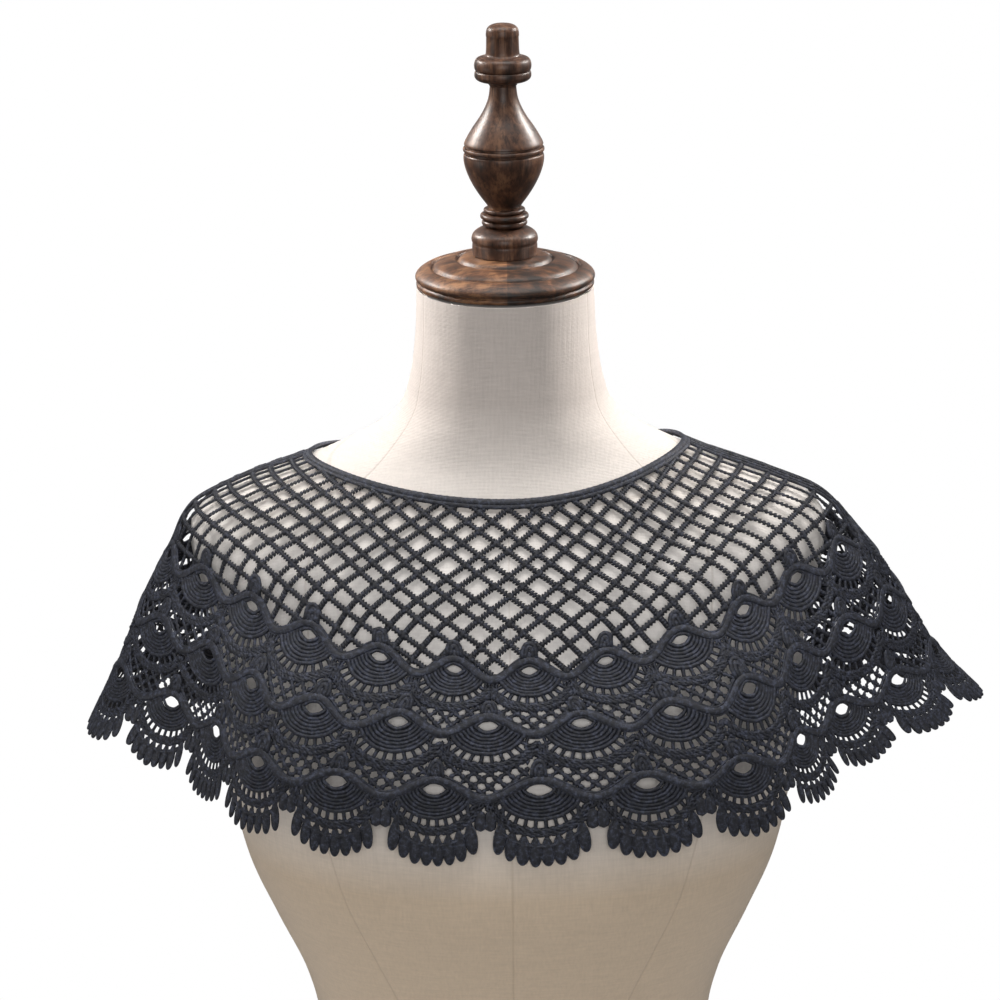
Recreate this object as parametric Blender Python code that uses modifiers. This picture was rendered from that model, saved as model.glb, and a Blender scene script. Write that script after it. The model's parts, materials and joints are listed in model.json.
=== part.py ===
"""A black guipure lace shawl lying round the shoulders of a limbless dress form.

The shawl is worked out as one draped sheet. A place on it is given by its turn round the neck
(0 at the front centre, a quarter at the right shoulder) and by its depth below the neck edge.
The yoke, the fan border and the neck binding are walls that share this sheet's points, so they
meet along their seams. The border's fans sit in three tiers, each tier half a fan round from
the one above. Lengths are metres. The tables are in millimetres, and heights in them count
from the shoulder tips.
"""

from math import pi, radians

import bmesh
import bpy
import numpy as np

MM = 0.001
OBJECT_NAME = "lace_shawl_on_dress_form"

# Height of the shoulder tips above the flat base.
TIP_HEIGHT = 0.590
SEAM = 0.0003

# Dress form: horizontal sections from the base to the top of the neck.
# Columns: height, half width, front depth, back depth, roundness of the section (2 is an oval).
FORM_SECTIONS = np.array(
    [
        (-590, 153, 95, 93, 2.3),
        (-584, 158, 99, 97, 2.3),
        (-540, 165, 103, 106, 2.3),
        (-490, 168, 106, 113, 2.3),
        (-440, 161, 106, 110, 2.3),
        (-400, 144, 101, 95, 2.25),
        (-360, 126, 95, 80, 2.25),
        (-325, 121, 95, 77, 2.25),
        (-290, 128.5, 103, 82, 2.25),
        (-250, 146, 117, 91, 2.25),
        (-214, 161, 128, 98, 2.25),
        (-178, 169, 130.5, 103, 2.25),
        (-138, 173, 127, 107, 2.25),
        (-100, 176, 117.5, 109, 2.25),
        (-70, 179, 106.5, 107, 2.2),
        (-45, 184.5, 98, 103, 2.15),
        (-22, 189.5, 88.5, 98, 2.1),
        (-8, 188.5, 80, 93.5, 2.05),
        (2, 180.5, 73.5, 89.5, 2.0),
        (14, 157, 66, 84, 1.9),
        (27, 120, 60, 78, 1.8),
        (35, 101.5, 57.5, 72, 1.8),
        (43, 84.5, 56, 67, 1.9),
        (52, 70.5, 55, 62.5, 2.0),
        (61, 62.5, 54.5, 59.5, 2.0),
        (75, 57.5, 54.5, 56.5, 2.0),
        (100, 53.5, 55.5, 52, 2.0),
        (131, 52, 58, 48, 2.0),
    ]
)
FORM_COLUMNS = 36
# The top of the neck leans this far to the front, evenly from the collar height upwards.
NECK_LEAN = radians(3.0)
LEAN_FROM = 61.0

# Shawl: rings of the draped sheet from the neck edge to the hem.
# Columns: depth below the neck edge, half width right and left, front and back distance from
# the axis, heights at the front, right, left and back, how far the ring's sides are drawn in
# (x) or squared off (y), and the size of the folds.
SHAWL_RINGS = np.array(
    [
        (0, 111, 118, 66, 90, 17.5, 36, 30, 4, -0.03, -0.06, 0),
        (52, 158, 168, 92.5, 101, -24, 15, 11, -38, -0.02, -0.09, 0),
        (78, 190, 190, 102, 105, -46.5, 2, -2, -60, -0.03, -0.10, 3),
        (104, 204, 199, 109, 109, -71, -22, -27, -82, -0.05, -0.10, 9),
        (141, 222, 213, 121, 116, -99.5, -60, -63, -116, -0.02, -0.13, 16),
        (181, 240, 225, 129, 124, -135, -101, -100, -152, 0.0, -0.13, 23),
        (232, 269, 245, 132.5, 133, -182, -133, -142, -199, -0.01, -0.10, 25),
    ]
)
# Columns: turn in degrees (right is positive), height of the fold (a valley is negative), width.
SHAWL_FOLDS = np.array(
    [
        (60, -1.15, 18),
        (100, 1.05, 14),
        (128, -0.85, 12),
        (150, 0.55, 12),
        (178, -0.45, 12),
        (-62, -1.0, 18),
        (-91, 0.6, 13),
        (-118, -0.85, 12),
        (-145, 0.6, 12),
    ]
)
# The sheet lies on the form down to the first depth and swings free from the second.
LIES_TO, FREE_FROM = 45.0, 120.0
# The share of its own stand-off that the sheet keeps where it lies, and its gap to the form.
LIES_SPARE = 0.15
CLEARANCE = 1.0

# Fans: how many in a tier, and the share of a fan by which a fan's centre is right of the front.
FANS = 24
FAN_SHIFT = 0.25
COLUMNS_PER_FAN = 4
# Depth of the eyes under each tier's braid, and how far the braid waves up and down.
TIER_DEPTHS = (104.0, 141.0, 181.0)
BRAID_WAVE = 6.0
BRAID_HALF_WIDTH = 2.6
HEM_DEPTH = 232.0
PETAL_DEPTH = 10.0
SCALLOP_RISE = 15.0
PETALS_PER_COLUMN = 2
# The two corners of a petal's blunt tip: share of its width, and length below the notch.
PETAL_TIP = ((0.22, PETAL_DEPTH), (0.78, PETAL_DEPTH))

# Wall thickness of the net and the fans, and the full height over the padded cords.
WALL = 1.3
BRAID_HEIGHT = 3.0
BINDING_HEIGHT = 3.2
BINDING_WIDTH = 6.4
BINDING_COLUMNS_PER_FAN = 3

# Where the rows of cells lie between two braids, as shares of the way down.
EYE_ROW, FAN_ROW, TRELLIS_TOP, TRELLIS_FOOT = 0.15, 0.50, 0.62, 0.84
HEM_EYE_ROW, HEM_FAN_ROW, HEM_SLIT_FOOT = 0.11, 0.46, 0.66
YOKE_DEPTHS = (24.0, 46.0, 66.0, 80.0)

# Turned wood: radius and height of each profile point in millimetres, top to bottom.
CAP_PROFILE = (
    (0.0, 19.0),
    (21.0, 19.0),
    (27.0, 17.0),
    (27.9, 15.6),
    (29.0, 16.4),
    (40.5, 13.0),
    (42.8, 11.0),
    (44.2, 12.0),
    (49.5, 9.0),
    (52.2, 6.0),
    (52.2, 2.0),
    (50.5, 0.0),
    (0.0, 0.0),
)
FINIAL_PROFILE = (
    (0.0, 134.0),
    (6.0, 133.2),
    (9.0, 130.5),
    (10.0, 126.0),
    (9.6, 117.5),
    (14.5, 116.0),
    (16.2, 111.5),
    (14.5, 106.5),
    (9.0, 104.5),
    (8.6, 98.0),
    (12.5, 84.0),
    (19.0, 70.0),
    (22.8, 61.5),
    (22.9, 56.0),
    (20.8, 45.0),
    (15.0, 33.0),
    (9.5, 25.5),
    (12.8, 22.0),
    (9.6, 19.0),
    (13.2, 16.2),
    (11.4, 14.0),
    (17.5, 12.0),
    (19.0, 8.0),
    (19.0, 0.0),
    (0.0, 0.0),
)
CAP_STEPS = 26
FINIAL_STEPS = 18

# Colour, roughness and metallic value of each finish.
FINISHES = {
    "black_lace": ((0.012, 0.014, 0.02, 1.0), 0.85, 0.0),
    "linen_cover": ((0.66, 0.6, 0.52, 1.0), 0.9, 0.0),
    "turned_walnut": ((0.09, 0.035, 0.018, 1.0), 0.3, 0.0),
}


def through_rows(place, rows):
    """A smooth curve through a table's rows, whose first column is the place."""
    xs, ys = rows[:, 0], rows[:, 1:]
    slope = np.gradient(ys, xs, axis=0)
    place = np.clip(np.asarray(place, float), xs[0], xs[-1])
    i = np.clip(np.searchsorted(xs, place, side="right") - 1, 0, len(xs) - 2)
    step = (xs[i + 1] - xs[i])[..., None]
    s = (place - xs[i])[..., None] / step
    start = (2 * s**3 - 3 * s**2 + 1) * ys[i] + (s**3 - 2 * s**2 + s) * step * slope[i]
    end = (3 * s**2 - 2 * s**3) * ys[i + 1] + (s**3 - s**2) * step * slope[i + 1]
    return np.moveaxis(start + end, -1, 0)


def eased(value, low, high):
    """0 below low, 1 above high, and a soft step between them."""
    s = np.clip((np.asarray(value, float) - low) / (high - low), 0, 1)
    return s * s * (3 - 2 * s)


def form_radius(angle, height):
    """Distance from the axis to the form's surface, at an angle from the front."""
    half, front, rear, power = through_rows(height, FORM_SECTIONS)
    depth = np.where(np.cos(angle) > 0, front, rear)
    side = np.abs(np.sin(angle) / half) ** power
    ahead = np.abs(np.cos(angle) / depth) ** power
    return (side + ahead) ** (-1 / power)


def hanging(turn, depth):
    """The sheet's own shape: x, y and height at a turn (in whole turns) and a depth."""
    right, left, front, rear, z_front, z_right, z_left, z_back, draw, square, fold = through_rows(
        depth, SHAWL_RINGS
    )
    angle = 2 * pi * np.asarray(turn, float)
    s, c = np.sin(angle), np.cos(angle)
    x = np.where(s > 0, right, left) * (s + draw * np.sin(3 * angle)) / (1 - draw)
    y = -np.where(c > 0, front, rear) * (c + square * np.cos(3 * angle)) / (1 + square)
    z_side = np.where(s > 0, z_right, z_left)
    z = z_side + (np.where(c > 0, z_front, z_back) - z_side) * c**2
    stand = np.zeros_like(x)
    for at, height, width in SHAWL_FOLDS:
        away = (np.degrees(angle) - at + 180) % 360 - 180
        stand = stand + height * np.exp(-((away / width) ** 2))
    grow = 1 + fold * stand / np.hypot(x, y)
    return x * grow, y * grow, z


def sheet(turn, depth):
    """The sheet's inner side in metres, resting on the form where it lies on it."""
    x, y, z = hanging(turn, depth)
    r = np.hypot(x, y)
    angle = np.arctan2(x, -y)
    slope = form_radius(angle, z + 1) - form_radius(angle, z - 1)
    rest = form_radius(angle, z) + CLEARANCE * np.hypot(1, slope / 2)
    spare = np.maximum(r - rest, 0) * (LIES_SPARE + (1 - LIES_SPARE) * eased(depth, LIES_TO, FREE_FROM))
    grow = (rest + spare) / r
    return np.stack([x * grow, y * grow, z], axis=-1) * MM + np.array([0, 0, TIP_HEIGHT])


def outward(turn, depth):
    """The direction away from the form at right angles to the sheet."""
    nudge = 0.4
    along = sheet(turn + nudge / 1000, depth) - sheet(turn - nudge / 1000, depth)
    down = sheet(turn, depth + nudge) - sheet(turn, depth - nudge)
    across = np.cross(down, along)
    return across / np.linalg.norm(across, axis=-1, keepdims=True)


def turn_of(fan):
    """The turn of a place that is counted in fans from the front."""
    return (np.asarray(fan, float) + FAN_SHIFT) / FANS


def braid_depth(tier, fan):
    """Depth of a tier's braid, which arches over every eye and dips between them."""
    side = -1 if tier == 1 else 1
    return TIER_DEPTHS[tier] + 0.5 - side * BRAID_WAVE * np.cos(2 * pi * np.asarray(fan, float))


def hem_depth(fan):
    """Depth of the line between the petals, in scallops centred on the fans."""
    off_centre = np.abs((np.asarray(fan, float) + 0.5) % 1 - 0.5) * 2
    return HEM_DEPTH - PETAL_DEPTH - SCALLOP_RISE * off_centre**2.2


def material(name):
    """A plain finish with the colour, roughness and metallic value of the real one."""
    colour, roughness, metallic = FINISHES[name]
    made = bpy.data.materials.get(name) or bpy.data.materials.new(name)
    made.use_nodes = True
    shader = made.node_tree.nodes["Principled BSDF"]
    shader.inputs["Base Color"].default_value = colour
    shader.inputs["Roughness"].default_value = roughness
    shader.inputs["Metallic"].default_value = metallic
    made.diffuse_color = colour
    return made


def add_object(name, mesh, finish, collection):
    """Puts a mesh into the collection as a named sub-part with its finish."""
    mesh.materials.append(material(finish))
    made = bpy.data.objects.new(name, mesh)
    collection.objects.link(made)
    return made


class Wall:
    """A cloth wall between an inner side on the sheet and an outer side raised from it.

    Corners are kept by their fan and depth, so cells that share a corner share its points.
    """

    def __init__(self, seam_left=None, seam_right=None):
        self.inner, self.outer, self.index = [], [], {}
        self.cells = []
        self.seams = (seam_left, seam_right)

    def corner(self, fan, depth, height):
        """The number of a corner, which is made when it is first asked for."""
        key = (round(fan % FANS, 5), round(depth, 3))
        if key not in self.index:
            turn = turn_of(fan)
            if fan == self.seams[0]:
                turn += SEAM / 2 / self.round_at(fan, depth)
            if fan == self.seams[1]:
                turn -= SEAM / 2 / self.round_at(fan, depth)
            point = sheet(turn, depth)
            self.index[key] = len(self.inner)
            self.inner.append(point)
            self.outer.append(point + outward(turn, depth) * height * MM)
        return self.index[key]

    @staticmethod
    def round_at(fan, depth):
        """Metres of sheet to one whole turn, near a place."""
        nudge = 0.001
        step = sheet(turn_of(fan) + nudge, depth) - sheet(turn_of(fan) - nudge, depth)
        return np.linalg.norm(step) / (2 * nudge)

    def add_cell(self, corners):
        """Adds a cell, with its corners in order and the outer side in front."""
        self.cells.append(tuple(corners))

    def mesh(self, name):
        """Joins both sides with rims along every edge that only one cell has."""
        count = len(self.inner)
        faces = []
        edges = {}
        for cell in self.cells:
            faces.append(cell)
            faces.append(tuple(c + count for c in reversed(cell)))
            for a, b in zip(cell, cell[1:] + cell[:1]):
                edges[(a, b)] = True
        for a, b in edges:
            if (b, a) not in edges:
                faces.append((b, a, a + count, b + count))
        made = bpy.data.meshes.new(name)
        made.from_pydata([tuple(p) for p in self.outer + self.inner], [], faces)
        made.update()
        return made


def rows_of_border(fan):
    """Depth and outer height of each row of the border at a place, from the seam to the hem."""
    rows = []
    for tier in range(3):
        braid = braid_depth(tier, fan)
        rows.append((braid - BRAID_HALF_WIDTH, WALL))
        rows.append((braid, BRAID_HEIGHT))
        top = braid + BRAID_HALF_WIDTH
        rows.append((top, WALL))
        if tier < 2:
            foot = braid_depth(tier + 1, fan) - BRAID_HALF_WIDTH
            shares = (EYE_ROW, FAN_ROW, TRELLIS_TOP, TRELLIS_FOOT)
        else:
            foot = hem_depth(fan)
            shares = (HEM_EYE_ROW, HEM_FAN_ROW, HEM_SLIT_FOOT)
        rows.extend((top + share * (foot - top), WALL) for share in shares)
    rows.append((hem_depth(fan), WALL))
    return rows


# Rows of cells in the border that hold openings, and the share of a fan where each one lies:
# the eyes under the braids, the gaps between neighbouring fans, the trellis windows beside
# them, and the slits above the hem.
BORDER_OPENINGS = {
    (2, 0.0),
    (3, 0.5),
    (5, 0.25),
    (5, 0.75),
    (9, 0.5),
    (10, 0.0),
    (12, 0.25),
    (12, 0.75),
    (16, 0.0),
    (18, 0.25),
    (18, 0.75),
}


def fan_columns(first, last):
    """Column edges from one seam to the other, with a column centred on every fan."""
    count = round((last - first) * COLUMNS_PER_FAN)
    return [first + i / COLUMNS_PER_FAN for i in range(count + 1)]


def border(name, first, last, collection):
    """Three tiers of fans with their eyes, gaps and trellis windows, and the petalled hem."""
    wall = Wall(first, last)
    columns = fan_columns(first, last)
    for left, right in zip(columns, columns[1:]):
        rows_left, rows_right = rows_of_border(left), rows_of_border(right)
        middle = round((left + right) / 2 % 1, 3) % 1
        for row in range(len(rows_left) - 1):
            if (row, middle) in BORDER_OPENINGS:
                continue
            is_hem = row == len(rows_left) - 2
            wall.add_cell(
                (
                    wall.corner(left, *rows_left[row]),
                    wall.corner(left, *rows_left[row + 1]),
                    *(petal_edge(wall, left, right) if is_hem else ()),
                    wall.corner(right, *rows_right[row + 1]),
                    wall.corner(right, *rows_right[row]),
                )
            )
    return add_object(name, wall.mesh(name), "black_lace", collection)


def petal_edge(wall, left, right):
    """The blunt tips of a column's petals and the notches between them, from left to right."""
    points = []
    for petal in range(PETALS_PER_COLUMN):
        for share, length in ((0.0, 0.0), *PETAL_TIP):
            if petal or length:
                fan = left + (right - left) * (petal + share) / PETALS_PER_COLUMN
                points.append(wall.corner(fan, hem_depth(fan) + length, WALL))
    return points


def yoke(name, first, last, collection):
    """The even net from the neck binding to the first braid, as a plain wall."""
    wall = Wall(first, last)
    columns = fan_columns(first, last)
    seam_share = SEAM / MM

    def rows(fan):
        last_row = braid_depth(0, fan) - BRAID_HALF_WIDTH - seam_share
        return (BINDING_WIDTH + seam_share, *YOKE_DEPTHS, last_row)

    for left, right in zip(columns, columns[1:]):
        rows_left, rows_right = rows(left), rows(right)
        for row in range(len(rows_left) - 1):
            wall.add_cell(
                (
                    wall.corner(left, rows_left[row], WALL),
                    wall.corner(left, rows_left[row + 1], WALL),
                    wall.corner(right, rows_right[row + 1], WALL),
                    wall.corner(right, rows_right[row], WALL),
                )
            )
    return add_object(name, wall.mesh(name), "black_lace", collection)


def neck_binding(name, collection):
    """The corded binding all round the neck edge, raised along its middle."""
    wall = Wall()
    columns = [fan / BINDING_COLUMNS_PER_FAN for fan in range(FANS * BINDING_COLUMNS_PER_FAN + 1)]
    rows = ((0.0, WALL), (BINDING_WIDTH / 2, BINDING_HEIGHT), (BINDING_WIDTH, WALL))
    for left, right in zip(columns, columns[1:]):
        for upper, lower in zip(rows, rows[1:]):
            wall.add_cell(
                (
                    wall.corner(left, *upper),
                    wall.corner(left, *lower),
                    wall.corner(right, *lower),
                    wall.corner(right, *upper),
                )
            )
    return add_object(name, wall.mesh(name), "black_lace", collection)


def torso(name, collection):
    """The form's cover, lofted through its sections and closed flat at both ends."""
    angles = np.arange(FORM_COLUMNS) / FORM_COLUMNS * 2 * pi
    made = bpy.data.meshes.new(name)
    bm = bmesh.new()
    rings = []
    for height in FORM_SECTIONS[:, 0]:
        radii = form_radius(angles, np.full_like(angles, height))
        x, y = radii * np.sin(angles), -radii * np.cos(angles)
        lean = np.tan(NECK_LEAN * eased(height, LEAN_FROM, FORM_SECTIONS[-1, 0]))
        z = height + y * lean
        rings.append([bm.verts.new((a * MM, b * MM, c * MM + TIP_HEIGHT)) for a, b, c in zip(x, y, z)])
    for lower, upper in zip(rings, rings[1:]):
        for i in range(FORM_COLUMNS):
            j = (i + 1) % FORM_COLUMNS
            bm.faces.new((lower[i], lower[j], upper[j], upper[i]))
    bm.faces.new(reversed(rings[0]))
    bm.faces.new(rings[-1])
    bm.to_mesh(made)
    bm.free()
    made.shade_smooth()
    made.set_sharp_from_angle(angle=radians(40))
    return add_object(name, made, "linen_cover", collection)


def turned(name, profile, steps, lift, collection):
    """A turned piece of wood on the neck's leaning top, this far above it."""
    made = bpy.data.meshes.new(name)
    points = [(r * MM, 0.0, (z + lift) * MM) for r, z in profile]
    made.from_pydata(points, [(i, i + 1) for i in range(len(points) - 1)], [])
    turned_piece = add_object(name, made, "turned_walnut", collection)
    screw = turned_piece.modifiers.new("turned", "SCREW")
    screw.steps = steps
    screw.render_steps = steps
    screw.use_merge_vertices = True
    screw.merge_threshold = 0.00005
    top = FORM_SECTIONS[-1]
    middle = (top[3] - top[2]) / 2
    height = top[0] + middle * np.tan(NECK_LEAN)
    turned_piece.location = (0.0, middle * MM, height * MM + TIP_HEIGHT)
    turned_piece.rotation_euler = (NECK_LEAN, 0.0, 0.0)
    return turned_piece


def clear_scene():
    """Empties the open file of objects, so that a second run starts clean."""
    for old in list(bpy.data.objects):
        bpy.data.objects.remove(old, do_unlink=True)


def main():
    clear_scene()
    collection = bpy.data.collections.new(OBJECT_NAME)
    bpy.context.scene.collection.children.link(collection)
    torso("torso", collection)
    gap = SEAM / MM
    turned("neck_cap", CAP_PROFILE, CAP_STEPS, gap, collection)
    turned("finial", FINIAL_PROFILE, FINIAL_STEPS, CAP_PROFILE[0][1] + 2 * gap, collection)
    neck_binding("neck_binding", collection)
    # The shoulder seams run down the shoulders between two columns, half a tier apart.
    quarter = FANS / 4
    right_seam = quarter - 0.125 - 0.25
    left_seam = right_seam - FANS / 2
    for side, first, last in (
        ("front", left_seam, right_seam),
        ("back", right_seam, left_seam + FANS),
    ):
        yoke(f"yoke_{side}", first, last, collection)
        border(f"border_{side}", first, last, collection)


main()
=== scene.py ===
# %% [markdown]
# # A black guipure lace shawl on a dress form
#
# The shawl is a stiff lace of padded cords, made by stitching them on a ground that is then
# dissolved. Its yoke is an open net of toothed bars, and its border has three tiers of fans,
# each under a waving braid, with a hem of padded petals. It lies on the shoulders of a
# linen-covered form that carries a turned walnut cap and finial.
#
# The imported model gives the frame. Each of its soft nodes is replaced here by real cords that
# lie on the same draped sheet, so everything stays where the solids are.

import json
from math import pi, radians

import bmesh
import bpy
import numpy as np
from mathutils import Matrix, Vector

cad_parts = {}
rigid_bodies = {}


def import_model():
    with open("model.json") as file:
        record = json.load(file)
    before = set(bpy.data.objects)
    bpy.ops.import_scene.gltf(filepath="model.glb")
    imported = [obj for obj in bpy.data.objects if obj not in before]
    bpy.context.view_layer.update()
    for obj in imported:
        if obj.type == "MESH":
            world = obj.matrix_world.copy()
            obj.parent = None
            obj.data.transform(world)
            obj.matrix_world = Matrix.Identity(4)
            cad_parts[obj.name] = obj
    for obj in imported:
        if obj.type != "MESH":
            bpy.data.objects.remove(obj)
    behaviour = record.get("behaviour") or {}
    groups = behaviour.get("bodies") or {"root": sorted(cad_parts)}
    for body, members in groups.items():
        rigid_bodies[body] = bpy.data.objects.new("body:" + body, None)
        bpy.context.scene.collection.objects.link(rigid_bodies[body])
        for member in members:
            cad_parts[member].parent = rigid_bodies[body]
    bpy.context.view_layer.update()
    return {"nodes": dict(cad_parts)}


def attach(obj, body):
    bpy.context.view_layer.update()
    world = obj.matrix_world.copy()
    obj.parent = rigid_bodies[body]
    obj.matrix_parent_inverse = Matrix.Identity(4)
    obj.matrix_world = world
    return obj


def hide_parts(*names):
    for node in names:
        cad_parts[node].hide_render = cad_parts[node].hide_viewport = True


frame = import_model()
print("nodes:", ", ".join(sorted(frame["nodes"])))

# %% [markdown]
# ## The sizes that drive the drape
#
# A real shawl hangs from what it lies on, so the form comes first: horizontal sections of a
# general female form. Then come the shawl's rings from the neck edge to the hem, and the folds
# that stand out where the cloth swings free. Another way is a cloth simulation. Rings and folds
# are kept instead, because they put every fan where the photograph has it. Lengths in the
# tables are millimetres and heights count from the shoulder tips.

# %% The tables that shape the form and the shawl
MM = 0.001
TIP_HEIGHT = 0.590

# Columns: height, half width, front depth, back depth, roundness of the section (2 is an oval).
FORM_SECTIONS = np.array([
    (-590, 153, 95, 93, 2.3), (-584, 158, 99, 97, 2.3), (-540, 165, 103, 106, 2.3),
    (-490, 168, 106, 113, 2.3), (-440, 161, 106, 110, 2.3), (-400, 144, 101, 95, 2.25),
    (-360, 126, 95, 80, 2.25), (-325, 121, 95, 77, 2.25), (-290, 128.5, 103, 82, 2.25),
    (-250, 146, 117, 91, 2.25), (-214, 161, 128, 98, 2.25), (-178, 169, 130.5, 103, 2.25),
    (-138, 173, 127, 107, 2.25), (-100, 176, 117.5, 109, 2.25), (-70, 179, 106.5, 107, 2.2),
    (-45, 184.5, 98, 103, 2.15), (-22, 189.5, 88.5, 98, 2.1), (-8, 188.5, 80, 93.5, 2.05),
    (2, 180.5, 73.5, 89.5, 2.0), (14, 157, 66, 84, 1.9), (27, 120, 60, 78, 1.8),
    (35, 101.5, 57.5, 72, 1.8), (43, 84.5, 56, 67, 1.9), (52, 70.5, 55, 62.5, 2.0),
    (61, 62.5, 54.5, 59.5, 2.0), (75, 57.5, 54.5, 56.5, 2.0), (100, 53.5, 55.5, 52, 2.0),
    (131, 52, 58, 48, 2.0),
])
NECK_LEAN = radians(3.0)
LEAN_FROM = 61.0

# Columns: depth below the neck edge, half width right and left, front and back distance from
# the axis, heights at the front, right, left and back, how far the ring's sides are drawn in
# (x) or squared off (y), and the size of the folds.
SHAWL_RINGS = np.array([
    (0, 111, 118, 66, 90, 17.5, 36, 30, 4, -0.03, -0.06, 0),
    (52, 158, 168, 92.5, 101, -24, 15, 11, -38, -0.02, -0.09, 0),
    (78, 190, 190, 102, 105, -46.5, 2, -2, -60, -0.03, -0.10, 3),
    (104, 204, 199, 109, 109, -71, -22, -27, -82, -0.05, -0.10, 9),
    (141, 222, 213, 121, 116, -99.5, -60, -63, -116, -0.02, -0.13, 16),
    (181, 240, 225, 129, 124, -135, -101, -100, -152, 0.0, -0.13, 23),
    (232, 269, 245, 132.5, 133, -182, -133, -142, -199, -0.01, -0.10, 25),
])
# Columns: turn in degrees (right is positive), height of the fold (a valley is negative), width.
SHAWL_FOLDS = np.array([
    (60, -1.15, 18), (100, 1.05, 14), (128, -0.85, 12), (150, 0.55, 12), (178, -0.45, 12),
    (-62, -1.0, 18), (-91, 0.6, 13), (-118, -0.85, 12), (-145, 0.6, 12),
])
# The sheet lies on the form down to the first depth and hangs free from the second. Where it
# lies, it keeps this share of its own distance from the form, over a clearance.
LIES_TO, FREE_FROM = 45.0, 120.0
LIES_SPARE = 0.15
CLEARANCE = 1.0

# Fans in a tier, the share of a fan by which a fan's centre is right of the front, and the two
# shoulder seams, counted in fans from the front.
FANS = 24
FAN_SHIFT = 0.25
RIGHT_SEAM = 5.625
LEFT_SEAM = RIGHT_SEAM - FANS / 2
HALVES = {"front": (LEFT_SEAM, RIGHT_SEAM), "back": (RIGHT_SEAM, LEFT_SEAM + FANS)}

# The depth of each tier, and the share of a fan by which it is moved round, as bricks are laid.
TIER_DEPTHS = (104.0, 141.0, 181.0)
TIER_SHIFTS = (0.0, 0.5, 0.0)
BRAID_DROP, BRAID_WAVE = 0.5, 6.0
HEM_DEPTH, SCALLOP_RISE = 232.0, 15.0
BINDING_WIDTH = 6.4
print("rings from the neck edge to the hem:", len(SHAWL_RINGS), "and folds:", len(SHAWL_FOLDS))

# %% [markdown]
# ## The draped sheet
#
# Every cord needs to know where the cloth is and which way is out. One formula gives both for
# any turn round the neck and any depth below the neck edge. It is the same formula that shaped
# the solids, so the cords lie inside their walls.


# %% The draped sheet
def through_rows(place, rows):
    """A smooth curve through a table's rows, whose first column is the place."""
    xs, ys = rows[:, 0], rows[:, 1:]
    slope = np.gradient(ys, xs, axis=0)
    place = np.clip(np.asarray(place, float), xs[0], xs[-1])
    i = np.clip(np.searchsorted(xs, place, side="right") - 1, 0, len(xs) - 2)
    step = (xs[i + 1] - xs[i])[..., None]
    s = (place - xs[i])[..., None] / step
    start = (2 * s**3 - 3 * s**2 + 1) * ys[i] + (s**3 - 2 * s**2 + s) * step * slope[i]
    end = (3 * s**2 - 2 * s**3) * ys[i + 1] + (s**3 - s**2) * step * slope[i + 1]
    return np.moveaxis(start + end, -1, 0)


def eased(value, low, high):
    """0 below low, 1 above high, and a soft step between them."""
    s = np.clip((np.asarray(value, float) - low) / (high - low), 0, 1)
    return s * s * (3 - 2 * s)


def form_radius(angle, height):
    """Distance from the axis to the form's surface, at an angle from the front."""
    half, front, rear, power = through_rows(height, FORM_SECTIONS)
    depth = np.where(np.cos(angle) > 0, front, rear)
    side = np.abs(np.sin(angle) / half) ** power
    ahead = np.abs(np.cos(angle) / depth) ** power
    return (side + ahead) ** (-1 / power)


def hanging(turn, depth):
    """The sheet's own shape: x, y and height at a turn (in whole turns) and a depth."""
    right, left, front, rear, z_front, z_right, z_left, z_back, draw, square, fold = through_rows(
        depth, SHAWL_RINGS
    )
    angle = 2 * pi * np.asarray(turn, float)
    s, c = np.sin(angle), np.cos(angle)
    x = np.where(s > 0, right, left) * (s + draw * np.sin(3 * angle)) / (1 - draw)
    y = -np.where(c > 0, front, rear) * (c + square * np.cos(3 * angle)) / (1 + square)
    z_side = np.where(s > 0, z_right, z_left)
    z = z_side + (np.where(c > 0, z_front, z_back) - z_side) * c**2
    stand = np.zeros_like(x)
    for at, height, width in SHAWL_FOLDS:
        away = (np.degrees(angle) - at + 180) % 360 - 180
        stand = stand + height * np.exp(-((away / width) ** 2))
    grow = 1 + fold * stand / np.hypot(x, y)
    return x * grow, y * grow, z


def sheet(turn, depth):
    """The sheet's inner side in metres, resting on the form where it lies on it."""
    x, y, z = hanging(turn, depth)
    r = np.hypot(x, y)
    angle = np.arctan2(x, -y)
    slope = form_radius(angle, z + 1) - form_radius(angle, z - 1)
    rest = form_radius(angle, z) + CLEARANCE * np.hypot(1, slope / 2)
    free = LIES_SPARE + (1 - LIES_SPARE) * eased(depth, LIES_TO, FREE_FROM)
    grow = (rest + np.maximum(r - rest, 0) * free) / r
    return np.stack([x * grow, y * grow, z], axis=-1) * MM + np.array([0, 0, TIP_HEIGHT])


def unit(v):
    """The same directions with a length of 1."""
    return v / np.maximum(np.linalg.norm(v, axis=-1, keepdims=True), 1e-12)


def outward(turn, depth):
    """The direction away from the form at right angles to the sheet."""
    nudge = 0.4
    along = sheet(turn + nudge / 1000, depth) - sheet(turn - nudge / 1000, depth)
    down = sheet(turn, depth + nudge) - sheet(turn, depth - nudge)
    return unit(np.cross(down, along))


# %% Places that are counted in fans
def turn_of(fan):
    """The turn of a place that is counted in fans from the front."""
    return (np.asarray(fan, float) + FAN_SHIFT) / FANS


def fan_width(fan, depth):
    """Width of one fan round the sheet at a place, in millimetres."""
    step = 0.02
    gap = sheet(turn_of(fan + step), depth) - sheet(turn_of(fan - step), depth)
    return np.linalg.norm(gap, axis=-1) / (2 * step * MM)


def arch_top(tier):
    """Depth of the top of the arches that a tier's braid makes."""
    return TIER_DEPTHS[tier] + BRAID_DROP - BRAID_WAVE


def braid_depth(tier, fan):
    """Depth of a tier's braid, which arches over every eye and dips between them."""
    u = np.asarray(fan, float) - TIER_SHIFTS[tier]
    return TIER_DEPTHS[tier] + BRAID_DROP - BRAID_WAVE * np.cos(2 * pi * u)


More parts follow.
